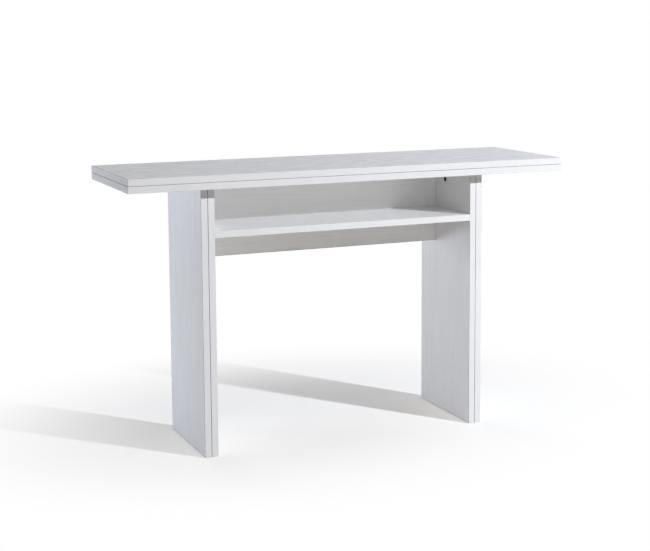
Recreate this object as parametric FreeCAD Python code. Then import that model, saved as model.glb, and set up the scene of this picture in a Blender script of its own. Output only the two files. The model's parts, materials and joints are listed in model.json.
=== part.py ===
import FreeCAD, Part
import os

# Extending console table
# Two boards lie folded on each other as the top, and the upper one opens like a book towards the back.
# Each leg is two boards side by side, and the outer one swings round to the back to carry the opened leaf.
# Millimetres, +Z up, +X along the top, -Y towards the open front of the shelf.
# The origin lies on the floor, under the middle of the folded top.

# Top and boards
table_height = 760.0
leaf_length = 1250.0
leaf_depth = 380.0
board_thickness = 18.0
leaf_gap = 0.8

# Legs
leg_front_setback = 75.0
leg_back_setback = 5.0
leg_end_setback = 212.0
leg_gap = 0.8
outer_leg_head_gap = 1.0

# Shelf and back panel
shelf_compartment_height = 119.0
back_panel_setback = 74.0
back_panel_height = 221.0

# Edging strips
edging_thickness = 1.0
edging_arris_radius = 0.6

# Hinges, alike on the leaves and the legs
hinge_length = 50.0
hinge_plate_reach = 15.0
hinge_plate_thickness = 1.5
hinge_plate_corner_radius = 3.0
hinge_knuckle_radius = 2.5
hinge_knuckle_gap = 0.4
hinge_knuckle_relief = 0.3
hinge_knuckle_count = 3
hinge_pin_radius = 1.5
hinge_pin_clearance = 0.05
hinge_mortise_clearance = 0.1
hinge_screw_edge_distance = 6.0
hinge_screw_end_distance = 10.0
leaf_hinge_end_inset = 130.0
leg_hinge_end_inset = 100.0

# Hinge screws
screw_length = 22.0
screw_shank_radius = 1.75
screw_head_radius = 3.1
screw_head_height = 1.3
screw_clearance = 0.1

# Cam locks and their bolts
cam_radius = 7.5
cam_depth = 13.5
cam_setback = 34.0
cam_clearance = 0.1
cam_slot_length = 9.0
cam_slot_width = 1.8
cam_slot_depth = 2.5
bolt_thread_length = 11.0
bolt_thread_radius = 2.5
bolt_shank_radius = 3.5
bolt_neck_radius = 2.0
bolt_neck_length = 7.0
bolt_head_radius = 3.2
bolt_head_length = 3.0
bolt_thread_clearance = 0.1
bolt_bore_clearance = 0.5
bolt_channel_clearance = 0.2

# Wooden dowels
dowel_radius = 4.0
dowel_length = 30.0
dowel_seat_depth = 10.0
dowel_chamfer = 1.0
dowel_side_clearance = 0.1
dowel_end_clearance = 1.0

# Places of the joints on the boards
leg_dowel_spread = 200.0
shelf_cam_inset = 50.0
shelf_back_dowel_spread = 240.0
back_panel_cam_inset = 45.0
back_panel_top_cam_spread = 380.0

# Floor glides
glide_radius = 7.5
glide_height = 1.5
glide_arris = 0.5
glide_nail_radius = 1.2
glide_nail_length = 12.0
glide_nail_clearance = 0.1
glide_inset = 40.0

# Reach of the cutting tools past the faces they open
overrun = 1.0

# Heights and depths that follow from the sizes above
leaf_half_length = leaf_length / 2
leaf_front = -leaf_depth / 2
leaf_back = leaf_depth / 2
upper_leaf_underside = table_height - board_thickness
lower_leaf_top = upper_leaf_underside - leaf_gap
top_underside = lower_leaf_top - board_thickness
leg_front = leaf_front + leg_front_setback
leg_back = leaf_back - leg_back_setback
leg_middle = (leg_front + leg_back) / 2
outer_leg_top = top_underside - outer_leg_head_gap
back_panel_rear = leg_back - back_panel_setback
back_panel_middle = back_panel_rear - board_thickness / 2
back_panel_bottom = top_underside - back_panel_height
shelf_top = top_underside - shelf_compartment_height
shelf_underside = shelf_top - board_thickness
shelf_middle_height = shelf_top - board_thickness / 2
shelf_back = back_panel_rear - board_thickness
shelf_middle = (leg_front + shelf_back) / 2

# Distances of the leg boards from the middle of the table
outer_leg_outside = leaf_half_length - leg_end_setback
outer_leg_inside = outer_leg_outside - board_thickness
outer_leg_middle = outer_leg_outside - board_thickness / 2
leg_hinge_offset = outer_leg_inside - leg_gap / 2
inner_leg_outside = outer_leg_inside - leg_gap
inner_leg_inside = inner_leg_outside - board_thickness
inner_leg_middle = inner_leg_outside - board_thickness / 2

# Directions and sides
ORIGIN = FreeCAD.Vector(0, 0, 0)
X_AXIS = FreeCAD.Vector(1, 0, 0)
Y_AXIS = FreeCAD.Vector(0, 1, 0)
Z_AXIS = FreeCAD.Vector(0, 0, 1)
SIDES = {"left": "-X", "right": "+X", "front": "-Y", "back": "+Y", "bottom": "-Z", "top": "+Z"}
HANDS = ("left", "right")
PLATES = ("fixed", "swing")


def side_of(name):
    """Axis number and sense of the side of a board that goes by a name."""
    sense, letter = SIDES[name]
    return "XYZ".index(letter), -1 if sense == "-" else 1


def sign_of(name):
    """Minus one for the left hand or the fixed plate, and one for the right hand or the swinging plate."""
    return -1 if name in ("left", "fixed") else 1


# General shapes

def block(corner, opposite):
    """Box between two opposite corners, given in any order."""
    low = [min(pair) for pair in zip(corner, opposite)]
    high = [max(pair) for pair in zip(corner, opposite)]
    size = [top - bottom for bottom, top in zip(low, high)]
    return Part.makeBox(size[0], size[1], size[2], FreeCAD.Vector(*low))


def turned(outline, base, direction):
    """Turned solid whose outline lists (radius, distance along the axis) from one end to the other."""
    points = [FreeCAD.Vector(0, 0, outline[0][1])]
    points += [FreeCAD.Vector(radius, 0, along) for radius, along in outline]
    points += [FreeCAD.Vector(0, 0, outline[-1][1]), points[0]]
    solid = Part.Face(Part.makePolygon(points)).revolve(ORIGIN, Z_AXIS, 360)
    return placed(solid, FreeCAD.Placement(base, FreeCAD.Rotation(Z_AXIS, direction)))


def placed(shape, placement):
    """Copy of a shape moved to its place."""
    return shape.transformed(placement.toMatrix(), True)


def on_plane(edge, axis, level):
    """Whether a straight edge lies wholly at one level along an axis."""
    return all(abs(vertex.Point[axis] - level) < Part.Precision.confusion() for vertex in edge.Vertexes)


def along_axis(edge, axis):
    """Whether a straight edge runs along an axis."""
    run = edge.Vertexes[-1].Point - edge.Vertexes[0].Point
    return abs(abs(run[axis]) - run.Length) < Part.Precision.confusion()


def save(name, shapes):
    """Write the solids of one node to its own file."""
    solids = [solid for shape in shapes for solid in shape.Solids]
    whole = solids[0] if len(solids) == 1 else Part.makeCompound(solids)
    whole.exportStep("parts/" + name + ".step")


# Boards and their edging

def edging_strip(low, high, axis, sense, at_corners):
    """Strip glued to one side of a board, with its outer arrises rounded.

    A strip that makes the board's corners is rounded all round, and any other one along its length only.
    """
    strip = block(low, high)
    outer_level = high[axis] if sense > 0 else low[axis]
    arrises = [edge for edge in strip.Edges if on_plane(edge, axis, outer_level)]
    if not at_corners:
        length_axis = max(range(len(low)), key=lambda number: high[number] - low[number])
        arrises = [edge for edge in arrises if along_axis(edge, length_axis)]
    return strip.makeFillet(edging_arris_radius, arrises)


class Board:
    """A board: its core, the edging strips round it, and the cuts that go into both."""

    def __init__(self, name, corner, opposite, edged_sides):
        self.name = name
        self.cuts = []
        self.strips = []
        low = [min(pair) for pair in zip(corner, opposite)]
        high = [max(pair) for pair in zip(corner, opposite)]
        edged_axes = [side_of(side)[0] for side in edged_sides]
        for side in edged_sides:
            axis, sense = side_of(side)
            at_corners = axis == edged_axes[0] and axis != edged_axes[-1]
            strip_low = list(low)
            strip_high = list(high)
            if sense > 0:
                high[axis] -= edging_thickness
                strip_low[axis] = high[axis]
            else:
                low[axis] += edging_thickness
                strip_high[axis] = low[axis]
            self.strips.append(edging_strip(strip_low, strip_high, axis, sense, at_corners))
        self.core = block(low, high)

    def machined(self, shape):
        """One piece of the board with the cuts that reach it."""
        tools = [tool for tool in self.cuts if tool.BoundBox.intersect(shape.BoundBox)]
        return shape.cut(tools) if tools else shape

    def save(self):
        """Write the core and the edging as two nodes."""
        save(self.name, [self.machined(self.core)])
        save(self.name + "_edging", [self.machined(strip) for strip in self.strips])


def leaf(name, underside):
    """One leaf of the top, edged all round."""
    corner = (-leaf_half_length, leaf_front, underside)
    opposite = (leaf_half_length, leaf_back, underside + board_thickness)
    return Board(name, corner, opposite, ["front", "back", "left", "right"])


def inner_leg(hand):
    """Fixed leg board, which stands under the lower leaf with its bare top edge."""
    sign = sign_of(hand)
    corner = (sign * inner_leg_inside, leg_front, glide_height)
    opposite = (sign * inner_leg_outside, leg_back, top_underside)
    return Board(hand + "_inner_leg", corner, opposite, ["front", "back", "bottom"])


def outer_leg(hand):
    """Swinging leg board, edged all round and a little short of the top."""
    sign = sign_of(hand)
    corner = (sign * outer_leg_inside, leg_front, glide_height)
    opposite = (sign * outer_leg_outside, leg_back, outer_leg_top)
    return Board(hand + "_outer_leg", corner, opposite, ["front", "back", "bottom", "top"])


def shelf_board():
    """Shelf between the inner legs, flush with their front edges."""
    corner = (-inner_leg_inside, leg_front, shelf_underside)
    opposite = (inner_leg_inside, shelf_back, shelf_top)
    return Board("shelf", corner, opposite, ["front"])


def back_board():
    """Panel behind the shelf, from the top down to below the shelf."""
    corner = (-inner_leg_inside, shelf_back, back_panel_bottom)
    opposite = (inner_leg_inside, back_panel_rear, top_underside)
    return Board("back_panel", corner, opposite, ["bottom"])


# Screws

def screw(base, direction):
    """Countersunk screw with the top of its head at the base point."""
    outline = [
        (screw_head_radius, 0),
        (screw_shank_radius, screw_head_height),
        (screw_shank_radius, screw_length),
    ]
    return turned(outline, base, direction)


def screw_bore(base, direction):
    """Countersink and pilot hole that the screw sits in."""
    shank = screw_shank_radius + screw_clearance
    outline = [
        (screw_head_radius + screw_clearance, -overrun),
        (screw_head_radius + screw_clearance, 0),
        (shank, screw_head_height),
        (shank, screw_length + screw_clearance),
    ]
    return turned(outline, base, direction)


# Hinges: the pin lies on Z, the plates lie towards -X (fixed) and +X (swinging),
# and the board edges that they are let into stand half a gap behind the pin

def knuckle_spans():
    """Start and end of each knuckle along the pin."""
    pitch = (hinge_length + hinge_knuckle_gap) / hinge_knuckle_count
    starts = [number * pitch - hinge_length / 2 for number in range(hinge_knuckle_count)]
    return [(start, start + pitch - hinge_knuckle_gap) for start in starts]


def round_bar(radius, start, end):
    """Cylinder about the pin's axis between two places along it."""
    return Part.makeCylinder(radius, end - start, FreeCAD.Vector(0, 0, start), Z_AXIS)


def let_in_shape(side, half_gap, margin):
    """Outline of a plate with its outer corners rounded, grown by a margin at its three free sides."""
    reach = sign_of(side) * (hinge_plate_reach + margin)
    half_length = hinge_length / 2 + margin
    floor = -half_gap - hinge_plate_thickness
    plate = block((0, floor, -half_length), (reach, -half_gap, half_length))
    corners = [edge for edge in plate.Edges if along_axis(edge, 1) and on_plane(edge, 0, reach)]
    return plate.makeFillet(hinge_plate_corner_radius + margin, corners)


def plate_screw_places(side, half_gap):
    """Points on a plate's face where its screws go in."""
    across = sign_of(side) * (hinge_plate_reach - hinge_screw_edge_distance)
    along = hinge_length / 2 - hinge_screw_end_distance
    return [FreeCAD.Vector(across, -half_gap, place) for place in (-along, along)]


def hinge_plate(side, half_gap):
    """Plate with its knuckles: the fixed one has the first, third and so on, the swinging one the rest."""
    plate = let_in_shape(side, half_gap, 0)
    own = knuckle_spans()[PLATES.index(side)::len(PLATES)]
    others = [span for span in knuckle_spans() if span not in own]
    relief_radius = hinge_knuckle_radius + hinge_knuckle_relief
    reliefs = [
        round_bar(relief_radius, start - hinge_knuckle_gap, end + hinge_knuckle_gap)
        for start, end in others
    ]
    knuckles = [round_bar(hinge_knuckle_radius, start, end) for start, end in own]
    bore = round_bar(hinge_pin_radius + hinge_pin_clearance, -hinge_length, hinge_length)
    sinks = [screw_bore(place, -Y_AXIS) for place in plate_screw_places(side, half_gap)]
    return plate.cut(reliefs).fuse(knuckles).cut([bore] + sinks).removeSplitter()


def hinge_pin():
    """Pin through all knuckles, flush at both ends."""
    return round_bar(hinge_pin_radius, -hinge_length / 2, hinge_length / 2)


def hinge_mortise(side, half_gap):
    """Recess in a board's edge for one plate, with round room for the knuckles and the screws' holes."""
    recess = let_in_shape(side, half_gap, hinge_mortise_clearance)
    half_length = hinge_length / 2 + hinge_mortise_clearance
    room = round_bar(hinge_knuckle_radius + hinge_knuckle_relief, -half_length, half_length)
    pilots = [screw_bore(place, -Y_AXIS) for place in plate_screw_places(side, half_gap)]
    return [recess.fuse(room)] + pilots


class HingeRow:
    """Hinges that carry one swinging board on one fixed board."""

    def __init__(self, name, half_gap, fixed_board, swing_board):
        self.name = name
        self.half_gap = half_gap
        self.boards = {"fixed": fixed_board, "swing": swing_board}
        self.screws = {"fixed": [], "swing": []}
        self.pins = []

    def add(self, place_name, placement):
        """Let one hinge into the two boards and write its plates."""
        for side in PLATES:
            plate = placed(hinge_plate(side, self.half_gap), placement)
            save("_".join((self.name, place_name, side, "plate")), [plate])
            cuts = hinge_mortise(side, self.half_gap)
            self.boards[side].cuts += [placed(cut, placement) for cut in cuts]
            for place in plate_screw_places(side, self.half_gap):
                self.screws[side].append(placed(screw(place, -Y_AXIS), placement))
        self.pins.append(placed(hinge_pin(), placement))

    def save(self):
        """Write the pins and the two groups of screws."""
        save(self.name + "_pins", self.pins)
        for side in PLATES:
            save("_".join((self.name, side, "screws")), self.screws[side])


def leaf_hinges(lower, upper):
    """Three hinges in the back edges of the leaves, at both ends and in the middle."""
    row = HingeRow("leaf_hinge", leaf_gap / 2, lower, upper)
    end_offset = leaf_half_length - leaf_hinge_end_inset
    turn = FreeCAD.Rotation(Z_AXIS, Y_AXIS, -X_AXIS)
    for place_name, offset in (("left", -end_offset), ("middle", 0), ("right", end_offset)):
        point = FreeCAD.Vector(offset, leaf_back + leaf_gap / 2, lower_leaf_top + leaf_gap / 2)
        row.add(place_name, FreeCAD.Placement(point, turn))
    row.save()


def leg_hinges(hand, inner, outer):
    """Two hinges in the back edges of one leg's boards, low and high."""
    row = HingeRow(hand + "_leg_hinge", leg_gap / 2, inner, outer)
    sign = sign_of(hand)
    turn = FreeCAD.Rotation(X_AXIS * sign, Y_AXIS, Z_AXIS * sign)
    low = glide_height + leg_hinge_end_inset
    high = outer_leg_top - leg_hinge_end_inset
    for place_name, height in (("lower", low), ("upper", high)):
        point = FreeCAD.Vector(sign * leg_hinge_offset, leg_back + leg_gap / 2, height)
        row.add(place_name, FreeCAD.Placement(point, turn))
    row.save()


# Cam joints and dowels: the joint point lies where the edge of one board meets the face of another,
# and the inward direction goes from there into the board that meets it with its edge

def cam_mouth(joint, inward, outward):
    """Middle of the cam's face, on the face of the board that it is sunk in."""
    return joint + inward * cam_setback + outward * (board_thickness / 2)


def cam_lock(joint, inward, outward):
    """Round cam with a crossed slot in its face and a channel that takes the bolt's head."""
    mouth = cam_mouth(joint, inward, outward)
    cam = Part.makeCylinder(cam_radius, cam_depth, mouth, -outward)
    rim = joint + inward * (cam_setback - cam_radius - overrun)
    channel_length = cam_radius + overrun + bolt_head_length / 2 + bolt_channel_clearance
    channel = Part.makeCylinder(bolt_head_radius + bolt_channel_clearance, channel_length, rim, inward)
    half_length = cam_slot_length / 2
    half_width = cam_slot_width / 2
    seat = FreeCAD.Placement(mouth, FreeCAD.Rotation(inward, outward.cross(inward), outward))
    slot = block((-half_length, -half_width, -cam_slot_depth), (half_length, half_width, overrun))
    cross = block((-half_width, -half_length, -cam_slot_depth), (half_width, half_length, overrun))
    return cam.cut([channel, placed(slot, seat), placed(cross, seat)])


def cam_pocket(joint, inward, outward):
    """Round pocket that the cam turns in."""
    mouth = cam_mouth(joint, inward, outward)
    depth = cam_depth + cam_clearance + overrun
    return Part.makeCylinder(cam_radius + cam_clearance, depth, mouth + outward * overrun, -outward)


def cam_bolt(joint, inward):
    """Bolt screwed into the face of one board, with a necked head that the cam in the other draws in."""
    head_end = cam_setback + bolt_head_length / 2
    head_start = head_end - bolt_head_length
    neck_start = head_start - bolt_neck_length
    outline = [
        (bolt_thread_radius, -bolt_thread_length),
        (bolt_thread_radius, 0),
        (bolt_shank_radius, 0),
        (bolt_shank_radius, neck_start),
        (bolt_neck_radius, neck_start),
        (bolt_neck_radius, head_start),
        (bolt_head_radius, head_start),
        (bolt_head_radius, head_end),
    ]
    return turned(outline, joint, inward)


def bolt_bores(joint, inward):
    """Bore in the board's edge as far as the cam, and the hole for the thread in the other board's face."""
    bore = Part.makeCylinder(bolt_shank_radius + bolt_bore_clearance, cam_setback, joint, inward)
    depth = bolt_thread_length + bolt_thread_clearance
    thread_hole = Part.makeCylinder(bolt_thread_radius + bolt_thread_clearance, depth, joint, -inward)
    return [bore, thread_hole]


def dowel(joint, inward):
    """Wooden dowel across the joint, chamfered at both ends."""
    start = -dowel_seat_depth
    end = dowel_length - dowel_seat_depth
    outline = [
        (dowel_radius - dowel_chamfer, start),
        (dowel_radius, start + dowel_chamfer),
        (dowel_radius, end - dowel_chamfer),
        (dowel_radius - dowel_chamfer, end),
    ]
    return turned(outline, joint, inward)


def dowel_bore(joint, inward):
    """Hole for a dowel through both boards of the joint."""
    start = joint - inward * (dowel_seat_depth + dowel_end_clearance)
    length = dowel_length + dowel_end_clearance * 2
    return Part.makeCylinder(dowel_radius + dowel_side_clearance, length, start, inward)


class Fittings:
    """Cam locks, cam bolts and dowels of one kind of joint."""

    def __init__(self, name):
        self.name = name
        self.cams = []
        self.bolts = []
        self.dowels = []

    def add_cam(self, joint, inward, outward, edge_board, face_board):
        """Join two boards with a cam sunk in the one that meets the other with its edge."""
        self.cams.append(cam_lock(joint, inward, outward))
        self.bolts.append(cam_bolt(joint, inward))
        bore, thread_hole = bolt_bores(joint, inward)
        edge_board.cuts += [cam_pocket(joint, inward, outward), bore]
        face_board.cuts.append(thread_hole)

    def add_dowel(self, joint, inward, edge_board, face_board):
        """Line two boards up with a dowel."""
        self.dowels.append(dowel(joint, inward))
        edge_board.cuts.append(dowel_bore(joint, inward))
        face_board.cuts.append(dowel_bore(joint, inward))

    def save(self):
        """Write the cams, the bolts and the dowels."""
        save(self.name + "_cam_locks", self.cams)
        save(self.name + "_cam_bolts", self.bolts)
        save(self.name + "_dowels", self.dowels)


def leg_joints(inner_legs, lower):
    """One cam in the middle of each inner leg's inner face, with a dowel on either side of it."""
    fittings = Fittings("leg")
    half_spread = Y_AXIS * (leg_dowel_spread / 2)
    for hand in HANDS:
        sign = sign_of(hand)
        middle = FreeCAD.Vector(sign * inner_leg_middle, leg_middle, top_underside)
        fittings.add_cam(middle, -Z_AXIS, X_AXIS * -sign, inner_legs[hand], lower)
        for place in (middle - half_spread, middle + half_spread):
            fittings.add_dowel(place, -Z_AXIS, inner_legs[hand], lower)
    fittings.save()


def shelf_joints(shelf, back_panel, inner_legs):
    """Two cams in the shelf's underside and a dowel at each end, and dowels along its back edge."""
    fittings = Fittings("shelf")
    for hand in HANDS:
        inward = X_AXIS * -sign_of(hand)
        end = FreeCAD.Vector(sign_of(hand) * inner_leg_inside, 0, shelf_middle_height)
        for depth in (leg_front + shelf_cam_inset, shelf_back - shelf_cam_inset):
            fittings.add_cam(end + Y_AXIS * depth, inward, -Z_AXIS, shelf, inner_legs[hand])
        fittings.add_dowel(end + Y_AXIS * shelf_middle, inward, shelf, inner_legs[hand])
    for offset in (-shelf_back_dowel_spread, 0, shelf_back_dowel_spread):
        place = FreeCAD.Vector(offset, shelf_back, shelf_middle_height)
        fittings.add_dowel(place, -Y_AXIS, shelf, back_panel)
    fittings.save()


def back_panel_joints(back_panel, inner_legs, lower):
    """Cams in the panel's rear face and dowels, at both ends and along the top."""
    fittings = Fittings("back_panel")
    for hand in HANDS:
        sign = sign_of(hand)
        inward = X_AXIS * -sign
        end = FreeCAD.Vector(sign * inner_leg_inside, back_panel_middle, 0)
        for height in (back_panel_bottom + back_panel_cam_inset, top_underside - back_panel_cam_inset):
            fittings.add_cam(end + Z_AXIS * height, inward, Y_AXIS, back_panel, inner_legs[hand])
        middle_height = back_panel_bottom + back_panel_height / 2
        fittings.add_dowel(end + Z_AXIS * middle_height, inward, back_panel, inner_legs[hand])
        top = FreeCAD.Vector(sign * back_panel_top_cam_spread / 2, back_panel_middle, top_underside)
        fittings.add_cam(top, -Z_AXIS, Y_AXIS, back_panel, lower)
    top_middle = FreeCAD.Vector(0, back_panel_middle, top_underside)
    fittings.add_dowel(top_middle, -Z_AXIS, back_panel, lower)
    fittings.save()


# Floor glides

def glide(place):
    """Round plastic glide with a nail up into the board."""
    outline = [
        (glide_radius - glide_arris, 0),
        (glide_radius, glide_arris),
        (glide_radius, glide_height),
        (glide_nail_radius, glide_height),
        (glide_nail_radius, glide_height + glide_nail_length),
    ]
    return turned(outline, place, Z_AXIS)


def nail_hole(place):
    """Hole that a glide's nail is driven into."""
    depth = glide_nail_length + glide_nail_clearance
    start = place + Z_AXIS * glide_height
    return Part.makeCylinder(glide_nail_radius + glide_nail_clearance, depth, start, Z_AXIS)


def leg_glides(board, distance):
    """Two glides under a leg board whose middle stands at a distance along X."""
    depths = (leg_front + glide_inset, leg_back - glide_inset)
    places = [FreeCAD.Vector(distance, depth, 0) for depth in depths]
    board.cuts += [nail_hole(place) for place in places]
    save(board.name + "_glides", [glide(place) for place in places])


# The whole table

def main():
    """Build every board, cut the joints into them and write all the nodes."""
    os.makedirs("parts", exist_ok=True)
    lower = leaf("lower_leaf", top_underside)
    upper = leaf("upper_leaf", upper_leaf_underside)
    inner_legs = {hand: inner_leg(hand) for hand in HANDS}
    outer_legs = {hand: outer_leg(hand) for hand in HANDS}
    shelf = shelf_board()
    back_panel = back_board()
    leaf_hinges(lower, upper)
    leg_joints(inner_legs, lower)
    shelf_joints(shelf, back_panel, inner_legs)
    back_panel_joints(back_panel, inner_legs, lower)
    for hand in HANDS:
        leg_hinges(hand, inner_legs[hand], outer_legs[hand])
        leg_glides(inner_legs[hand], sign_of(hand) * inner_leg_middle)
        leg_glides(outer_legs[hand], sign_of(hand) * outer_leg_middle)
    for board in [lower, upper, *inner_legs.values(), *outer_legs.values(), shelf, back_panel]:
        board.save()


main()
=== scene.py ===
"""Looks of an extending console table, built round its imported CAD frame.

The boards and hinges keep their CAD shapes and get finishes with grain, glue lines and gloss. The fasteners
are grown again with their threads, recesses, flutes and rims. A white studio floor, lamps and a camera show
the table from its front left.
"""

import json
import logging
import math
from abc import ABC, abstractmethod
from dataclasses import dataclass, field, fields
from enum import Enum
from typing import Any, ClassVar

import bmesh
import bpy
from bpy.types import Material, NodeSocket, NodeTree, Object
from mathutils import Matrix, Vector


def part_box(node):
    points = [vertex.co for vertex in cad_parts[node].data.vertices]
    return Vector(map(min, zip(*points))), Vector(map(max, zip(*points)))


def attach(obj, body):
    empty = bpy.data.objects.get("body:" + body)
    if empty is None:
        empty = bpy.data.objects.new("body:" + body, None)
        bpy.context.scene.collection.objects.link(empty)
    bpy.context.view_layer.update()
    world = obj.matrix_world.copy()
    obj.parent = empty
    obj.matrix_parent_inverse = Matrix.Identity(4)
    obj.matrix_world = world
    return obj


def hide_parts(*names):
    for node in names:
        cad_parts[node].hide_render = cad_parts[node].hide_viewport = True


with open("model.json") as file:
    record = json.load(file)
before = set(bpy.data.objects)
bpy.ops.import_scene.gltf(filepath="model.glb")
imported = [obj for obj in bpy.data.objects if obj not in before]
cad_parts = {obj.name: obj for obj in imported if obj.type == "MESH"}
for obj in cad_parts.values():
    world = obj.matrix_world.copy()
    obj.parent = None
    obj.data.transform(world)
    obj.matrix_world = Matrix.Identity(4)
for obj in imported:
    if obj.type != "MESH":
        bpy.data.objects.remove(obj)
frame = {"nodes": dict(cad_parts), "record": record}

MM = 0.001
X_AXIS, Y_AXIS, Z_AXIS = range(3)
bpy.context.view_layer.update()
BODY_OF = {node: body for body, nodes in frame["record"]["behaviour"]["bodies"].items() for node in nodes}
INWARD = "inward"
TOWARDS = "towards"
PART_PLACE = "part_place"
Inputs = dict[str | int, Any]
Pair = tuple[float, float]
Triple = tuple[float, float, float]
# Middle spread of a noise, which seldom comes near zero or one
NOISE_RANGE = {"From Min": 0.3, "From Max": 0.7}
# Distances in millimetres below which points are one, in CAD meshes and in grown fasteners
CAD_WELD = 0.001
FASTENER_WELD = 0.002
# Digits of a place in metres that count when solids are put in order
ORDER_DIGITS = 6
SHARP_ANGLE = math.radians(35.0)

log = logging.getLogger("console_table")


class Hand(Enum):
    """Side of the table, seen from its front."""

    LEFT = "left"
    RIGHT = "right"


class Plate(Enum):
    """Half of a hinge, by the board that carries it."""

    FIXED = "fixed"
    SWING = "swing"


class Grain(Enum):
    """Axis that the wood grain of a board runs along."""

    LENGTHWISE = X_AXIS
    UPRIGHT = Z_AXIS


def linear(colour: str) -> tuple[float, float, float, float]:
    """Turn an sRGB hex colour to linear light.

    Args:
        colour: Colour as "#RRGGBB".

    Returns:
        Linear red, green, blue and full alpha.
    """
    shares = [int(colour[start:start + 2], 16) / 255 for start in (1, 3, 5)]
    return (*[s / 12.92 if s <= 0.04045 else ((s + 0.055) / 1.055) ** 2.4 for s in shares], 1.0)


def add_node(tree: NodeTree, kind: str, inputs: Inputs | None = None, **settings: Any) -> NodeSocket:
    """Add a node with its settings, and fill or link its inputs.

    Args:
        tree: Tree that gets the node.
        kind: Blender's name of the node's type.
        inputs: Value, output socket or list of output sockets for each input, by its name or number.
        settings: Properties of the node.

    Returns:
        The node's first output in use, from which its node and other outputs can be reached.
    """
    node = tree.nodes.new(kind)
    for name, value in settings.items():
        setattr(node, name, value)
    for key, value in (inputs or {}).items():
        named = [socket for socket in node.inputs if socket.name == key and socket.enabled]
        target = named[0] if named else node.inputs[key]
        for source in value if isinstance(value, list) else [value]:
            if isinstance(source, NodeSocket):
                tree.links.new(source, target)
            else:
                target.default_value = source
    return next((output for output in node.outputs if output.enabled), None)


@dataclass(frozen=True)
class Solid:
    """Box round one separate solid, in metres."""

    low: Vector
    high: Vector

    @property
    def centre(self) -> Vector:
        """Middle of the box."""
        return (self.low + self.high) / 2

    @property
    def size(self) -> Vector:
        """Length of the box along each axis."""
        return self.high - self.low

    @property
    def long_axis(self) -> int:
        """Axis along which the box is longest."""
        return max(range(3), key=lambda axis: self.size[axis])

    @property
    def short_axis(self) -> int:
        """Axis along which the box is shortest."""
        return min(range(3), key=lambda axis: self.size[axis])

    def holds(self, point: Vector) -> bool:
        """Whether a point lies in the box."""
        return all(low <= place <= high for low, place, high in zip(self.low, point, self.high))

    def end(self, axis: int, sense: float) -> Vector:
        """Middle of the box's low or high end along an axis."""
        point = self.centre
        point[axis] = self.high[axis] if sense > 0 else self.low[axis]
        return point


def along(axis: int, sense: float) -> Vector:
    """Unit vector along an axis, in the sense of a number's sign."""
    direction = Vector((0, 0, 0))
    direction[axis] = math.copysign(1, sense)
    return direction


def solids_of(node: str) -> list[Solid]:
    """Find the separate solids of a CAD node.

    Args:
        node: Name of the node.

    Returns:
        The solids' boxes, in order of their lowest corners.
    """
    copy = bmesh.new()
    copy.from_mesh(frame["nodes"][node].data)
    bmesh.ops.remove_doubles(copy, verts=copy.verts, dist=CAD_WELD * MM)
    waiting = set(copy.verts)
    found = []
    while waiting:
        front = [waiting.pop()]
        island = []
        while front:
            vertex = front.pop()
            island.append(vertex.co.copy())
            near = {edge.other_vert(vertex) for edge in vertex.link_edges} & waiting
            waiting -= near
            front += near
        low, high = (Vector(pick(axis) for axis in zip(*island)) for pick in (min, max))
        found.append(Solid(low, high))
    copy.free()
    return sorted(found, key=lambda solid: [round(place, ORDER_DIGITS) for place in solid.low])


class Surface:
    """Node material with one Principled shader and the patterns that feed it."""

    def __init__(self, name: str, constants: dict[str, Any]) -> None:
        """Make the material.

        Args:
            name: Name of the real material.
            constants: Values of the shader's sockets that are the same all over.
        """
        self.material = bpy.data.materials.new(name)
        self.material.use_nodes = True
        self.tree = self.material.node_tree
        self.tree.nodes.clear()
        shader = self.add("ShaderNodeBsdfPrincipled", constants)
        self.add("ShaderNodeOutputMaterial", {"Surface": shader})
        self.sockets = shader.node.inputs
        outputs = self.add("ShaderNodeTexCoord").node.outputs
        self.place = outputs["Object"]
        self.facing = outputs["Normal"]

    def add(self, kind: str, inputs: Inputs | None = None, **settings: Any) -> NodeSocket:
        """Add a node to the material, as add_node does."""
        return add_node(self.tree, kind, inputs, **settings)

    def feed(self, **sources: NodeSocket) -> Material:
        """Link the shader's sockets.

        Args:
            sources: Output for each socket, named in small letters with underscores.

        Returns:
            The finished material.
        """
        for name, source in sources.items():
            self.tree.links.new(source, self.sockets[name.replace("_", " ").title()])
        return self.material

    def pattern(self, cell: Triple, detail: float, place: NodeSocket | None = None) -> NodeSocket:
        """Add a noise whose cells have a real size.

        Args:
            cell: Size of a cell along each axis, in millimetres.
            detail: Number of finer layers.
            place: Coordinates that the pattern lies in, or None for the object's own.

        Returns:
            The noise, from zero to one.
        """
        scale = tuple(1 / (size * MM) for size in cell)
        placed = self.add("ShaderNodeMapping", {"Vector": place or self.place, "Scale": scale})
        return self.add("ShaderNodeTexNoise", {"Vector": placed, "Scale": 1.0, "Detail": detail})


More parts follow.
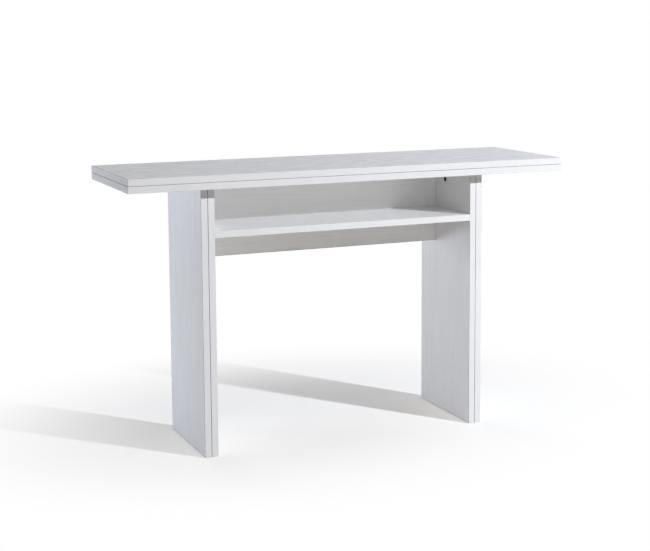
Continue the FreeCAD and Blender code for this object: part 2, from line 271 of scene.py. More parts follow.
@dataclass(frozen=True)
class AshMelamine:
    """Melamine paper on chipboard, printed and embossed with an ash grain.

    The eye gets a matt white with grey streaks and short pore lines along the grain, a dark glue line where
    the paper ends, and pressed chips inside the cuts. The pores are about 0.3 mm wide on the real paper and
    are drawn wider, so that they show from a step away. Sizes are in millimetres.
    """

    paper: str = "#FAFAFA"
    streak: str = "#F6F6F8"
    pore: str = "#ECEDEF"
    glue: str = "#77787C"
    pale_chip: str = "#D6BC93"
    dark_chip: str = "#9C7A4E"
    paper_thickness: float = 0.2
    glue_width: float = 0.9
    streak_length: float = 160.0
    streak_width: float = 5.0
    streak_detail: float = 4.0
    streak_range: Pair = (0.38, 0.64)
    pore_length: float = 55.0
    pore_width: float = 1.6
    pore_detail: float = 2.0
    pore_range: Pair = (0.55, 0.66)
    pore_depth: float = 0.08
    emboss: float = 0.6
    chip_size: float = 2.5
    ior: float = 1.5
    gloss: float = 0.3
    smooth_roughness: float = 0.42
    rough_roughness: float = 0.56

    def material(self, board: "Board") -> Material:
        """Make the finish of one board.

        Args:
            board: Board that the grain and the glue line are fitted to.

        Returns:
            The material.
        """
        surface = Surface(f"ash_melamine_{board.name}", {"IOR": self.ior, "Specular IOR Level": self.gloss})
        streaks = surface.pattern(
            board.grain_cell(self.streak_length, self.streak_width), self.streak_detail)
        pores = surface.pattern(board.grain_cell(self.pore_length, self.pore_width), self.pore_detail)
        banded = surface.add("ShaderNodeMapRange", {
            "Value": streaks, "From Min": self.streak_range[0], "From Max": self.streak_range[1]})
        porous = surface.add("ShaderNodeMapRange", {
            "Value": pores, "From Min": self.pore_range[0], "From Max": self.pore_range[1],
            "To Max": banded})
        printed = surface.add("ShaderNodeMix", {
            "Factor": banded, "A": linear(self.paper), "B": linear(self.streak)}, data_type="RGBA")
        embossed = surface.add("ShaderNodeMix", {
            "Factor": porous, "A": printed, "B": linear(self.pore)}, data_type="RGBA")
        rim, skin = self.masks(surface, board)
        glued = surface.add("ShaderNodeMix", {
            "Factor": rim, "A": embossed, "B": linear(self.glue)}, data_type="RGBA")
        faced = surface.add("ShaderNodeMix", {
            "Factor": skin, "A": self.chips(surface), "B": glued}, data_type="RGBA")
        bump = surface.add("ShaderNodeBump", {
            "Strength": self.emboss, "Distance": self.pore_depth * MM, "Height": porous}, invert=True)
        roughness = surface.add("ShaderNodeMapRange", {
            "Value": streaks, **NOISE_RANGE,
            "To Min": self.smooth_roughness, "To Max": self.rough_roughness})
        return surface.feed(base_color=faced, roughness=roughness, normal=bump)

    def masks(self, surface: Surface, board: "Board") -> tuple[NodeSocket, NodeSocket]:
        """Find the glue line at the paper's rim and the paper itself.

        Args:
            surface: Material that gets the nodes.
            board: Board whose box they are measured from.

        Returns:
            Share of glue line, and share of paper.
        """
        centred = surface.add(
            "ShaderNodeVectorMath", {0: surface.place, 1: board.box.centre}, operation="SUBTRACT")
        folded = surface.add("ShaderNodeVectorMath", {0: centred}, operation="ABSOLUTE")
        sunk = surface.add("ShaderNodeVectorMath", {0: folded, 1: board.box.size / 2}, operation="SUBTRACT")
        depths = surface.add("ShaderNodeSeparateXYZ", {"Vector": sunk}).node.outputs
        across = [depths[axis] for axis in range(3) if axis != board.box.short_axis]
        nearest = surface.add("ShaderNodeMath", {0: across[0], 1: across[1]}, operation="MAXIMUM")
        rim = surface.add("ShaderNodeMapRange", {
            "Value": nearest, "From Min": -self.glue_width * MM, "From Max": 0.0})
        skin = surface.add("ShaderNodeMapRange", {
            "Value": depths[board.box.short_axis],
            "From Min": -2 * self.paper_thickness * MM, "From Max": -self.paper_thickness * MM})
        return rim, skin

    def chips(self, surface: Surface) -> NodeSocket:
        """Add the pressed chips of the core and return their colour."""
        cells = surface.add("ShaderNodeTexVoronoi", {
            "Vector": surface.place, "Scale": 1 / (self.chip_size * MM)})
        return surface.add("ShaderNodeMix", {
            "Factor": cells.node.outputs["Color"], "A": linear(self.pale_chip), "B": linear(self.dark_chip)},
            data_type="RGBA")


@dataclass(frozen=True)
class ExtrudedEdging:
    """ABS edging, extruded, glued on and scraped flush.

    The eye gets a smooth satin white, a little duller along the scraped arrises, and a grey line of painted
    shade on the arrises that turn to the sides. Sizes are in millimetres.
    """

    face: str = "#DFDFE2"
    shade: str = "#D9DADD"
    # Grey of the painted shade along the arrises that turn to the sides
    filed: str = "#8A8B8F"
    shade_size: float = 45.0
    shade_detail: float = 3.0
    peel_size: float = 1.6
    peel_detail: float = 2.0
    peel_height: float = 0.02
    peel_strength: float = 0.4
    # Sums of a normal's fourth powers on a flat side and on a round arris
    round_range: Pair = (0.98, 0.7)
    # Squares of a normal's X part on an arris that turns forwards and on one that turns to the sides
    side_range: Pair = (0.05, 0.3)
    ior: float = 1.53
    gloss: float = 0.3
    face_roughness: float = 0.34
    scraped_roughness: float = 0.55

    def material(self) -> Material:
        """Make the finish of all edging strips."""
        surface = Surface("extruded_abs_edging", {"IOR": self.ior, "Specular IOR Level": self.gloss})
        tone = surface.pattern((self.shade_size,) * 3, self.shade_detail)
        peel = surface.pattern((self.peel_size,) * 3, self.peel_detail)
        squared = surface.add(
            "ShaderNodeVectorMath", {0: surface.facing, 1: surface.facing}, operation="MULTIPLY")
        flatness = surface.add("ShaderNodeVectorMath", {0: squared, 1: squared}, operation="DOT_PRODUCT")
        rounded = surface.add("ShaderNodeMapRange", {
            "Value": flatness.node.outputs["Value"],
            "From Min": self.round_range[0], "From Max": self.round_range[1]})
        toned = surface.add("ShaderNodeMix", {
            "Factor": tone, "A": linear(self.face), "B": linear(self.shade)}, data_type="RGBA")
        # Painted shade: grey on the rounded arrises that turn to the sides, chosen by the way each arris
        # faces
        sideways = surface.add("ShaderNodeSeparateXYZ", {"Vector": squared}).node.outputs["X"]
        filed = surface.add("ShaderNodeMapRange", {
            "Value": sideways, "From Min": self.side_range[0], "From Max": self.side_range[1],
            "To Max": rounded})
        arris_shaded = surface.add("ShaderNodeMix", {
            "Factor": filed, "A": toned, "B": linear(self.filed)}, data_type="RGBA")
        bump = surface.add("ShaderNodeBump", {
            "Strength": self.peel_strength, "Distance": self.peel_height * MM, "Height": peel})
        roughness = surface.add("ShaderNodeMapRange", {
            "Value": rounded, "To Min": self.face_roughness, "To Max": self.scraped_roughness})
        return surface.feed(base_color=arris_shaded, roughness=roughness, normal=bump)


@dataclass(frozen=True)
class PlatedMetal:
    """Plated metal whose gloss and tone are mottled, with fine scratches. Sizes are in millimetres."""

    name: str
    bright: str
    dull: str
    roughness: Pair
    mottle_size: float
    scratch: Triple
    scratch_depth: float = 0.01
    scratch_strength: float = 0.3
    scratch_detail: float = 2.0
    mottle_detail: float = 3.0

    def material(self) -> Material:
        """Make the finish."""
        surface = Surface(self.name, {"Metallic": 1.0})
        mottle = surface.pattern((self.mottle_size,) * 3, self.mottle_detail)
        scratches = surface.pattern(self.scratch, self.scratch_detail)
        colour = surface.add("ShaderNodeMix", {
            "Factor": mottle, "A": linear(self.bright), "B": linear(self.dull)}, data_type="RGBA")
        roughness = surface.add("ShaderNodeMapRange", {
            "Value": mottle, **NOISE_RANGE, "To Min": self.roughness[0], "To Max": self.roughness[1]})
        bump = surface.add("ShaderNodeBump", {
            "Strength": self.scratch_strength, "Distance": self.scratch_depth * MM,
            "Height": scratches})
        return surface.feed(base_color=colour, roughness=roughness, normal=bump)


@dataclass(frozen=True)
class Beech:
    """Bare turned beech: pale pinkish brown with short dark flecks along the dowel."""

    pale: str = "#DDBB91"
    fleck: str = "#B58A5C"
    fleck_length: float = 6.0
    fleck_width: float = 0.5
    fleck_depth: float = 0.03
    fleck_strength: float = 0.4
    fleck_detail: float = 3.0
    ior: float = 1.5
    roughness: float = 0.62

    def material(self) -> Material:
        """Make the finish, with the flecks along each dowel's own axis."""
        surface = Surface("turned_beech", {"IOR": self.ior, "Roughness": self.roughness})
        own = surface.add("ShaderNodeAttribute", attribute_name=PART_PLACE).node.outputs["Vector"]
        cell = (self.fleck_width, self.fleck_width, self.fleck_length)
        flecks = surface.pattern(cell, self.fleck_detail, own)
        colour = surface.add("ShaderNodeMix", {
            "Factor": flecks, "A": linear(self.pale), "B": linear(self.fleck)}, data_type="RGBA")
        bump = surface.add("ShaderNodeBump", {
            "Strength": self.fleck_strength, "Distance": self.fleck_depth * MM, "Height": flecks})
        return surface.feed(base_color=colour, normal=bump)


@dataclass(frozen=True)
class Polyethylene:
    """Moulded polyethylene: waxy off-white, a little scuffed."""

    clean: str = "#E8E8E4"
    scuffed: str = "#CFCFCA"
    scuff_size: float = 2.0
    scuff_depth: float = 0.02
    scuff_strength: float = 0.4
    scuff_detail: float = 4.0
    ior: float = 1.52
    clean_roughness: float = 0.3
    scuffed_roughness: float = 0.6

    def material(self) -> Material:
        """Make the finish."""
        surface = Surface("moulded_polyethylene", {"IOR": self.ior})
        scuffs = surface.pattern((self.scuff_size,) * 3, self.scuff_detail)
        colour = surface.add("ShaderNodeMix", {
            "Factor": scuffs, "A": linear(self.clean), "B": linear(self.scuffed)}, data_type="RGBA")
        roughness = surface.add("ShaderNodeMapRange", {
            "Value": scuffs, "To Min": self.clean_roughness, "To Max": self.scuffed_roughness})
        bump = surface.add("ShaderNodeBump", {
            "Strength": self.scuff_strength, "Distance": self.scuff_depth * MM, "Height": scuffs})
        return surface.feed(base_color=colour, roughness=roughness, normal=bump)


@dataclass(frozen=True)
class Board:
    """One board of the table: a CAD node, and the node of its edging strips."""

    name: str
    grain: Grain

    @property
    def box(self) -> Solid:
        """Box of the board without its edging."""
        return Solid(*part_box(self.name))

    def grain_cell(self, length: float, width: float) -> Triple:
        """Cell of a pattern that is stretched along the board's grain."""
        return tuple(length if axis == self.grain.value else width for axis in range(3))


LEAVES = tuple(Board(f"{level}_leaf", Grain.LENGTHWISE) for level in ("lower", "upper"))
LEGS = {hand: tuple(Board(f"{hand.value}_{place}_leg", Grain.UPRIGHT) for place in ("inner", "outer"))
        for hand in Hand}
SHELF_BOARDS = tuple(Board(name, Grain.LENGTHWISE) for name in ("shelf", "back_panel"))
BOARDS = (*LEAVES, *LEGS[Hand.LEFT], *LEGS[Hand.RIGHT], *SHELF_BOARDS)


@dataclass
class Finishes:
    """Finishes of the whole table, each made once and shared by its pieces."""

    melamine: AshMelamine = AshMelamine()
    # The leaves are seen at a low angle, so their grain is drawn coarser, and darker as painted shade in the
    # pores at that angle
    leaf_melamine: AshMelamine = AshMelamine(
        streak="#E9EAEE", pore="#CBCED4", streak_length=70.0, streak_width=10.0, pore_width=1.8)
    edging: Material = field(default_factory=ExtrudedEdging().material)
    # Nickel plate on pressed steel: warm grey mirror, softened by tumbling
    hinge_steel: Material = field(default_factory=PlatedMetal(
        "tumbled_nickel_plated_steel", "#C9C6BE", "#A9A69F",
        roughness=(0.22, 0.36), mottle_size=4.0, scratch=(0.4, 0.4, 6.0)).material)
    # Zinc plate on cold-headed steel: cool pale grey, bright on the crests
    screw_steel: Material = field(default_factory=PlatedMetal(
        "zinc_plated_screw_steel", "#CFD1D4", "#A6A9AE",
        roughness=(0.24, 0.42), mottle_size=1.5, scratch=(0.5, 0.5, 0.5)).material)
    # Die-cast zinc, near black, with the dull flow marks of the casting
    cam_zinc: Material = field(default_factory=PlatedMetal(
        "blackened_die_cast_zinc", "#2B2B2D", "#1D1D1E",
        roughness=(0.42, 0.6), mottle_size=2.5, scratch=(1.2, 1.2, 1.2)).material)
    # Zinc plate on turned steel: cool grey with rings from turning
    bolt_steel: Material = field(default_factory=PlatedMetal(
        "zinc_plated_bolt_steel", "#C6C7C4", "#9B9D9C",
        roughness=(0.26, 0.44), mottle_size=2.0, scratch=(0.5, 0.5, 0.5)).material)
    beech: Material = field(default_factory=Beech().material)
    polyethylene: Material = field(default_factory=Polyethylene().material)

    def dress(self, node: str, material: Material) -> str:
        """Give all slots of a CAD node one finish and return the node's name."""
        for slot in frame["nodes"][node].material_slots:
            slot.material = material
        return node

    def dress_board(self, board: Board) -> list[str]:
        """Give a board and its edging their finishes and return the names of both."""
        melamine = self.leaf_melamine if board in LEAVES else self.melamine
        return [
            self.dress(board.name, melamine.material(board)),
            self.dress(f"{board.name}_edging", self.edging),
        ]


@dataclass(frozen=True)
class Run:
    """Stretch of a turned shape between two radii, each named as the fastener's size is."""

    length: str | None
    start: str
    end: str
    rings: int = 1


@dataclass(frozen=True)
class Seat:
    """Place of a fastener: where it starts, the way it goes in, and the side that it turns to."""

    place: Vector
    inward: Vector
    towards: Vector = Vector((1, 0, 0))


class FastenerTree:
    """Geometry Nodes tree that grows one fastener along +Z and sets it on every point of a mesh."""

    def __init__(self, name: str, sizes: dict[str, float], sides: int) -> None:
        """Make the tree with an input for each size.

        Args:
            name: Name of the fastener.
            sizes: Sizes in metres, and angles in radians, by name.
            sides: Number of sides of its round stretches.
        """
        self.tree = bpy.data.node_groups.new(name, "GeometryNodeTree")
        self.sides = sides
        kinds = {"Points": "NodeSocketGeometry", "Finish": "NodeSocketMaterial", "Seed": "NodeSocketInt"}
        kinds |= {size: "NodeSocketFloat" for size in sizes}
        for entry, kind in kinds.items():
            self.tree.interface.new_socket(entry, in_out="INPUT", socket_type=kind)
        self.tree.interface.new_socket("Fasteners", in_out="OUTPUT", socket_type="NodeSocketGeometry")
        self.sizes = self.tree.nodes.new("NodeGroupInput").outputs

    def add(self, kind: str, inputs: Inputs | None = None, **settings: Any) -> NodeSocket:
        """Add a node to the tree, as add_node does."""
        return add_node(self.tree, kind, inputs, **settings)

    def turned(self, runs: list[Run]) -> NodeSocket:
        """Grow a closed turned shape.

        Args:
            runs: Stretches of its outline, one above the other.

        Returns:
            The shape, with its lower end on the origin.
        """
        height: NodeSocket | float = 0.0
        walls = []
        for run in runs:
            length = self.sizes[run.length] if run.length else 0.0
            wall = self.add("GeometryNodeMeshCone", {
                "Vertices": self.sides, "Side Segments": run.rings, "Depth": length,
                "Radius Bottom": self.sizes[run.start], "Radius Top": self.sizes[run.end]}, fill_type="NONE")
            lift = self.add("ShaderNodeCombineXYZ", {"Z": height})
            walls.append(self.add("GeometryNodeTransform", {"Geometry": wall, "Translation": lift}))
            height = self.add("ShaderNodeMath", {0: height, 1: length}, operation="ADD")
        foot, head = (self.add("GeometryNodeMeshCircle", {
            "Vertices": self.sides, "Radius": self.sizes[radius]}, fill_type="NGON")
            for radius in (runs[0].start, runs[-1].end))
        foot = self.add("GeometryNodeFlipFaces", {"Mesh": foot})
        lift = self.add("ShaderNodeCombineXYZ", {"Z": height})
        head = self.add("GeometryNodeTransform", {"Geometry": head, "Translation": lift})
        joined = self.add("GeometryNodeJoinGeometry", {"Geometry": [*walls, foot, head]})
        return self.add("GeometryNodeMergeByDistance", {"Geometry": joined, "Distance": FASTENER_WELD * MM})

    def grooved(
        self, shape: NodeSocket, pitch: str | None, depth: str, spans: tuple[str, str], starts: int = 1
    ) -> NodeSocket:
        """Cut grooves into a turned shape, round it as a thread or along it as flutes.

        Args:
            shape: Shape to be grooved.
            pitch: Name of the thread's pitch, or None for straight flutes.
            depth: Name of the depth, as a share of the radius.
            spans: Names of the heights between which the grooves lie.
            starts: Number of grooves side by side.

        Returns:
            The grooved shape.
        """
        position = self.add("GeometryNodeInputPosition")
        parts = self.add("ShaderNodeSeparateXYZ", {"Vector": position}).node.outputs
        angle = self.add("ShaderNodeMath", {0: parts["Y"], 1: parts["X"]}, operation="ARCTAN2")
        phase = self.add("ShaderNodeMath", {0: angle, 1: starts / math.tau}, operation="MULTIPLY")
        if pitch:
            climb = self.add("ShaderNodeMath", {0: parts["Z"], 1: self.sizes[pitch]}, operation="DIVIDE")
            phase = self.add("ShaderNodeMath", {0: climb, 1: phase}, operation="SUBTRACT")
        half = 0.5
        wave = self.add("ShaderNodeMath", {0: phase, 1: half}, operation="PINGPONG")
        above = self.add("ShaderNodeMath", {0: parts["Z"], 1: self.sizes[spans[0]]}, operation="GREATER_THAN")
        below = self.add("ShaderNodeMath", {0: parts["Z"], 1: self.sizes[spans[1]]}, operation="LESS_THAN")
        within = self.add("ShaderNodeMath", {0: above, 1: below}, operation="MULTIPLY")
        most = self.add("ShaderNodeMath", {0: within, 1: self.sizes[depth]}, operation="MULTIPLY")
        shrink = self.add("ShaderNodeMapRange", {"Value": wave, "From Max": half, "To Max": most})
        inwards = self.add("ShaderNodeVectorMath", {0: position, 1: (-1.0, -1.0, 0.0)}, operation="MULTIPLY")
        offset = self.add("ShaderNodeVectorMath", {0: inwards, "Scale": shrink}, operation="SCALE")
        return self.add("GeometryNodeSetPosition", {"Geometry": shape, "Offset": offset})

    def crossed(self, span: str, width: str, depth: str) -> NodeSocket:
        """Grow two crossed blades about the origin, as the cutter of a driver's recess."""
        doubled = self.add("ShaderNodeMath", {0: self.sizes[depth], 1: 2.0}, operation="MULTIPLY")
        sides = (self.sizes[span], self.sizes[width])
        blades = []
        for length, breadth in (sides, sides[::-1]):
            size = self.add("ShaderNodeCombineXYZ", {"X": length, "Y": breadth, "Z": doubled})
            blades.append(self.add("GeometryNodeMeshCube", {"Size": size}))
        return self.add("GeometryNodeMeshBoolean", {"Mesh 2": blades}, operation="UNION")

    def cut(self, shape: NodeSocket, cutters: list[NodeSocket]) -> NodeSocket:
        """Take cutters out of a shape."""
        return self.add(
            "GeometryNodeMeshBoolean", {"Mesh 1": shape, "Mesh 2": cutters}, operation="DIFFERENCE")

    def spread(self, shape: NodeSocket) -> None:
        """Set the shape on every point, turned as its attributes and the seed say, and end the tree."""
        place = self.add("GeometryNodeInputPosition")
        shape = self.add("GeometryNodeStoreNamedAttribute", {
            "Geometry": shape, "Name": PART_PLACE, "Value": place}, data_type="FLOAT_VECTOR", domain="POINT")
        ways = {name: self.add("GeometryNodeInputNamedAttribute", {"Name": name}, data_type="FLOAT_VECTOR")
                for name in (INWARD, TOWARDS)}
        upright = self.add("FunctionNodeAlignRotationToVector", {"Vector": ways[INWARD]}, axis="Z")
        turned = self.add("FunctionNodeAlignRotationToVector", {
            "Rotation": upright, "Vector": ways[TOWARDS]}, axis="X", pivot_axis="Z")
        angle = self.add("FunctionNodeRandomValue", {
            "Min": 0.0, "Max": self.sizes["Turn range"], "Seed": self.sizes["Seed"]}, data_type="FLOAT")
        twist = self.add("FunctionNodeAxisAngleToRotation", {"Axis": (0.0, 0.0, 1.0), "Angle": angle})
        rotation = self.add("FunctionNodeRotateRotation", {
            "Rotation": turned, "Rotate By": twist}, rotation_space="LOCAL")
        instances = self.add("GeometryNodeInstanceOnPoints", {
            "Points": self.sizes["Points"], "Instance": shape, "Rotation": rotation})
        real = self.add("GeometryNodeRealizeInstances", {"Geometry": instances})
        finished = self.add("GeometryNodeSetMaterial", {"Geometry": real, "Material": self.sizes["Finish"]})
        self.add("NodeGroupOutput", {"Fasteners": finished})


@dataclass(frozen=True)
class Fastener(ABC):
    """A small part that repeats. Sizes are in millimetres, and a share or a range has no unit."""

    sides: ClassVar[int] = 16
    turn_range: float = 0.0

    @abstractmethod
    def shape(self, tree: FastenerTree) -> NodeSocket:
        """Grow one fastener along +Z in its tree."""

    def sizes(self) -> dict[str, float]:
        """Sizes by the name of their input, in metres."""
        values = {size.name: getattr(self, size.name) for size in fields(self)}
        units = {name: 1.0 if name.endswith(("share", "range")) else MM for name in values}
        return {name.replace("_", " ").capitalize(): value * units[name] for name, value in values.items()}

    def grow(self, name: str, seats: list[Seat], finish: Material, seed: int = 1) -> Object:
        """Make the fasteners of one CAD node as one plain mesh.

        Args:
            name: Name of the new piece.
            seats: Places of the fasteners.
            finish: Their material.
            seed: Seed of their chance turns.

        Returns:
            The piece's object.
        """
        points = bpy.data.meshes.new(f"{name}_seats")
        points.from_pydata([seat.place for seat in seats], [], [])
        for way in (INWARD, TOWARDS):
            values = [number for seat in seats for number in getattr(seat, way)]
            points.attributes.new(way, "FLOAT_VECTOR", "POINT").data.foreach_set("vector", values)
        piece = bpy.data.objects.new(name, points)
        bpy.context.scene.collection.objects.link(piece)
        tree = FastenerTree(name, self.sizes(), self.sides)
        tree.spread(self.shape(tree))
        modifier = piece.modifiers.new("grow", "NODES")
        modifier.node_group = tree.tree
        values = self.sizes() | {"Finish": finish, "Seed": seed}
        for entry in tree.tree.interface.items_tree:
            if entry.in_out == "INPUT" and entry.name in values:
                modifier[entry.identifier] = values[entry.name]
        grown = piece.evaluated_get(bpy.context.evaluated_depsgraph_get())
        mesh = bpy.data.meshes.new_from_object(grown)
        piece.modifiers.clear()
        piece.data = mesh
        mesh.name = name
        mesh.shade_smooth()
        mesh.set_sharp_from_angle(angle=SHARP_ANGLE)
        return piece


@dataclass(frozen=True)
class HingeScrew(Fastener):
    """Countersunk wood screw with a crossed recess, a thread and a point."""

    turn_range: float = math.tau
    head_radius: float = 3.1
    head_height: float = 1.3
    thread_radius: float = 1.75
    thread_depth_share: float = 0.3
    thread_pitch: float = 1.8
    thread_length: float = 16.7
    thread_end: float = 21.9
    tip_length: float = 4.0
    tip_radius: float = 0.3
    recess_span: float = 3.6
    recess_width: float = 0.9
    recess_depth: float = 1.1

    def shape(self, tree: FastenerTree) -> NodeSocket:
        """Grow the screw from the top of its head to its point."""
        solid = tree.turned([
            Run("Head height", "Head radius", "Thread radius"),
            Run("Thread length", "Thread radius", "Thread radius", rings=56),
            Run("Tip length", "Thread radius", "Tip radius", rings=12),
        ])
        threaded = tree.grooved(solid, "Thread pitch", "Thread depth share", ("Head height", "Thread end"))
        return tree.cut(threaded, [tree.crossed("Recess span", "Recess width", "Recess depth")])


@dataclass(frozen=True)
class CamLock(Fastener):
    """Cast cam with a chamfered rim, a crossed recess, a pointer and a channel for the bolt's head."""

    sides: ClassVar[int] = 40
    channel_sides: ClassVar[int] = 24
    pointer_sides: ClassVar[int] = 3
    radius: float = 7.5
    rim_radius: float = 7.0
    chamfer: float = 0.5
    body_length: float = 13.0
    recess_span: float = 9.0
    recess_width: float = 1.8
    recess_depth: float = 2.5
    channel_radius: float = 3.4
    channel_length: float = 11.0
    channel_middle: float = 3.8
    channel_height: float = 9.0
    pointer_radius: float = 0.9
    pointer_depth: float = 0.8
    pointer_place: float = 5.8

    def shape(self, tree: FastenerTree) -> NodeSocket:
        """Grow the cam from its face inwards, with its channel towards +X."""
        solid = tree.turned([Run("Chamfer", "Rim radius", "Radius"), Run("Body length", "Radius", "Radius")])
        channel = tree.add("GeometryNodeMeshCylinder", {
            "Vertices": self.channel_sides, "Radius": tree.sizes["Channel radius"],
            "Depth": tree.sizes["Channel length"]})
        place = tree.add("ShaderNodeCombineXYZ", {
            "X": tree.sizes["Channel middle"], "Z": tree.sizes["Channel height"]})
        channel = tree.add("GeometryNodeTransform", {
            "Geometry": channel, "Translation": place, "Rotation": (0.0, math.pi / 2, 0.0)})
        pointer = tree.add("GeometryNodeMeshCylinder", {
            "Vertices": self.pointer_sides, "Radius": tree.sizes["Pointer radius"],
            "Depth": tree.sizes["Pointer depth"]})
        place = tree.add("ShaderNodeCombineXYZ", {"X": tree.sizes["Pointer place"]})
        pointer = tree.add("GeometryNodeTransform", {"Geometry": pointer, "Translation": place})
        recess = tree.crossed("Recess span", "Recess width", "Recess depth")
        return tree.cut(solid, [recess, channel, pointer])


@dataclass(frozen=True)
class CamBolt(Fastener):
    """Turned bolt with a coarse thread for chipboard, a stout shank and a necked head."""

    sides: ClassVar[int] = 20
    turn_range: float = math.tau
    tip_radius: float = 1.6
    tip_length: float = 1.5
    thread_radius: float = 2.5
    thread_depth_share: float = 0.24
    thread_pitch: float = 2.2
    thread_start: float = 0.1
    thread_length: float = 9.5
    thread_end: float = 10.9
    shank_radius: float = 3.5
    shank_length: float = 25.5
    neck_radius: float = 2.0
    neck_length: float = 7.0
    head_radius: float = 3.2
    head_length: float = 2.4
    head_chamfer: float = 0.6
    head_end_radius: float = 2.5

    def shape(self, tree: FastenerTree) -> NodeSocket:
        """Grow the bolt from the tip of its thread to its head."""
        solid = tree.turned([
            Run("Tip length", "Tip radius", "Thread radius", rings=4),
            Run("Thread length", "Thread radius", "Thread radius", rings=28),
            Run(None, "Thread radius", "Shank radius"),
            Run("Shank length", "Shank radius", "Shank radius"),
            Run(None, "Shank radius", "Neck radius"),
            Run("Neck length", "Neck radius", "Neck radius"),
            Run(None, "Neck radius", "Head radius"),
            Run("Head length", "Head radius", "Head radius"),
            Run("Head chamfer", "Head radius", "Head end radius"),
        ])
        return tree.grooved(solid, "Thread pitch", "Thread depth share", ("Thread start", "Thread end"))


@dataclass(frozen=True)
class Dowel(Fastener):
    """Beech dowel with straight flutes that let the glue out, chamfered at both ends."""

    flutes: ClassVar[int] = 18
    sides: ClassVar[int] = 4 * flutes
    turn_range: float = math.tau
    radius: float = 4.0
    end_radius: float = 3.0
    chamfer: float = 1.0
    body_length: float = 28.0
    flute_depth_share: float = 0.07
    flute_start: float = -1.0
    flute_end: float = 31.0

    def shape(self, tree: FastenerTree) -> NodeSocket:
        """Grow the dowel from end to end."""
        solid = tree.turned([
            Run("Chamfer", "End radius", "Radius"),
            Run("Body length", "Radius", "Radius"),
            Run("Chamfer", "Radius", "End radius"),
        ])
        return tree.grooved(solid, None, "Flute depth share", ("Flute start", "Flute end"), self.flutes)


@dataclass(frozen=True)
class Glide(Fastener):
    """Moulded glide with a rounded rim and a nail."""

    sides: ClassVar[int] = 32
    turn_range: float = math.tau
    foot_radius: float = 6.7
    shoulder_radius: float = 7.25
    rim_radius: float = 7.5
    foot_height: float = 0.15
    shoulder_height: float = 0.35
    rim_height: float = 1.0
    nail_radius: float = 1.2
    nail_length: float = 10.5
    nail_tip_length: float = 1.5
    nail_tip_radius: float = 0.2

    def shape(self, tree: FastenerTree) -> NodeSocket:
        """Grow the glide from the floor to the nail's point."""
        return tree.turned([
            Run("Foot height", "Foot radius", "Shoulder radius"),
            Run("Shoulder height", "Shoulder radius", "Rim radius"),
            Run("Rim height", "Rim radius", "Rim radius"),
            Run(None, "Rim radius", "Nail radius"),
            Run("Nail length", "Nail radius", "Nail radius"),
            Run("Nail tip length", "Nail radius", "Nail tip radius"),
        ])


def fit(piece: Object, node: str) -> str:
    """Let a grown piece stand for a CAD node.

    Args:
        piece: Object of the piece.
        node: Name of the node, whose body the piece rides on.

    Returns:
        The piece's name.
    """
    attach(piece, BODY_OF[node])
    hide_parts(node)
    return piece.name


@dataclass(frozen=True)
class HingeRow:
    """Hinges between one fixed and one swinging board, let into their back edges."""

    name: str
    places: tuple[str, ...]
    screw: HingeScrew = HingeScrew()

    def build(self, finishes: Finishes) -> list[str]:
        """Dress the plates and pins, grow the screws and return the names of the pieces."""
        made = [finishes.dress(f"{self.name}_pins", finishes.hinge_steel)]
        for number, plate in enumerate(Plate):
            for place in self.places:
                node = f"{self.name}_{place}_{plate.value}_plate"
                made.append(finishes.dress(node, finishes.hinge_steel))
            node = f"{self.name}_{plate.value}_screws"
            seats = [Seat(solid.end(Y_AXIS, 1), along(Y_AXIS, -1)) for solid in solids_of(node)]
            screws = self.screw.grow(f"{node}_threaded", seats, finishes.screw_steel, seed=number)
            made.append(fit(screws, node))
        return made


@dataclass(frozen=True)
class FoldingTop:
    """Top of two leaves, the upper one hinged to the lower one along the back."""

    hinges: HingeRow = HingeRow("leaf_hinge", ("left", "middle", "right"))

    def build(self, finishes: Finishes) -> list[str]:
        """Dress the leaves and their hinges and return the names of the pieces."""
        boards = [name for leaf in LEAVES for name in finishes.dress_board(leaf)]
        return boards + self.hinges.build(finishes)


@dataclass(frozen=True)
class FoldingLeg:
    """Leg of two boards, the outer one hinged to the inner one along the back, both on glides."""

    hand: Hand
    glide: Glide = Glide()

    def build(self, finishes: Finishes) -> list[str]:
        """Dress the boards and hinges, grow the glides and return the names of the pieces."""
        made = HingeRow(f"{self.hand.value}_leg_hinge", ("lower", "upper")).build(finishes)
        for board in LEGS[self.hand]:
            made += finishes.dress_board(board)
            node = f"{board.name}_glides"
            seats = [Seat(solid.end(Z_AXIS, -1), along(Z_AXIS, 1)) for solid in solids_of(node)]
            glides = self.glide.grow(f"{node}_moulded", seats, finishes.polyethylene)
            made.append(fit(glides, node))
        return made


